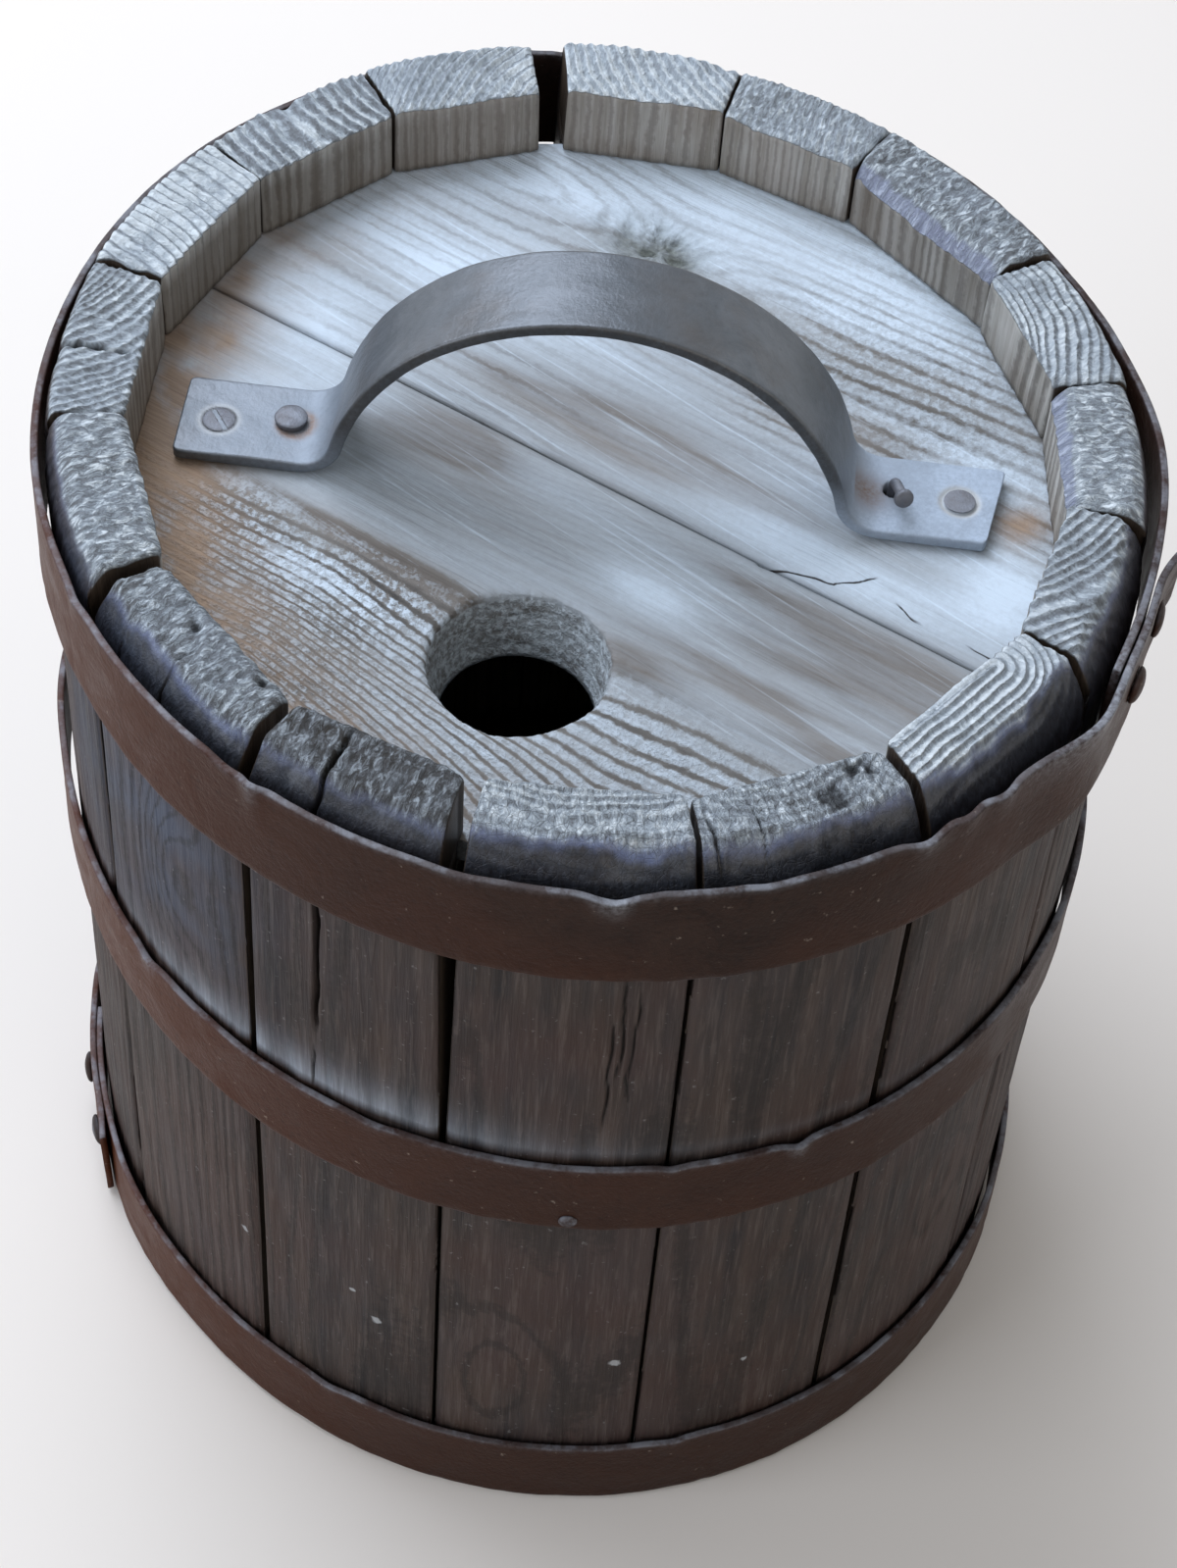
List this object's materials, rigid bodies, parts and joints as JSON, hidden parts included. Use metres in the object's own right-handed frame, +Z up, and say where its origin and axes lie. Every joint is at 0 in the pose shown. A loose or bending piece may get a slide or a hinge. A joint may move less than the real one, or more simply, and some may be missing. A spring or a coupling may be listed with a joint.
{
  "type": "wine barrel",
  "caption": "Old coned wine cask of bevelled softwood staves in lapped iron hoops, with a boarded head set below the rim, a bung hole and an iron strap handle.",
  "frame": {"origin": "on the floor at the middle of the cask", "axes": "+Z up through the heads, +X towards the foot of the handle with the bent nail, -Y towards the side with the bung hole"},
  "size_m": [0.2636, 0.2694, 0.3093],
  "materials": {
    "stave_wood": "weathered dark softwood, dusty, grey end grain at the rim",
    "head_wood": "weathered softwood, pale grey with dust in the raised grain",
    "dowel_wood": "plain riven wood",
    "hoop_iron": "dark red-brown rust, worn bright at the edges",
    "handle_iron": "dark grey iron, dusty on the feet",
    "fastener_iron": "dull grey iron with dust and rust"
  },
  "bodies": {
    "root": {"stave_01": "stave_wood", "stave_02": "stave_wood", "stave_03": "stave_wood", "stave_04": "stave_wood", "stave_05": "stave_wood", "stave_06": "stave_wood", "stave_07": "stave_wood", "stave_08": "stave_wood", "stave_09": "stave_wood", "stave_10": "stave_wood", "stave_11": "stave_wood", "stave_12": "stave_wood", "stave_13": "stave_wood", "stave_14": "stave_wood", "stave_15": "stave_wood", "stave_16": "stave_wood", "upper_hoop": "hoop_iron", "middle_hoop": "hoop_iron", "lower_hoop": "hoop_iron", "upper_hoop_rivet_1": "hoop_iron", "upper_hoop_rivet_2": "hoop_iron", "middle_hoop_rivet_1": "hoop_iron", "middle_hoop_rivet_2": "hoop_iron", "lower_hoop_rivet_1": "hoop_iron", "lower_hoop_rivet_2": "hoop_iron", "upper_head_front_board": "head_wood", "upper_head_back_board": "head_wood", "lower_head_right_board": "head_wood", "lower_head_left_board": "head_wood", "upper_head_dowel_1": "dowel_wood", "upper_head_dowel_2": "dowel_wood", "lower_head_dowel_1": "dowel_wood", "lower_head_dowel_2": "dowel_wood", "strap_handle": "handle_iron", "left_foot_screw": "fastener_iron", "left_foot_nail": "fastener_iron", "right_foot_bent_nail": "fastener_iron", "right_foot_nail": "fastener_iron"}
  },
  "joints": []
}
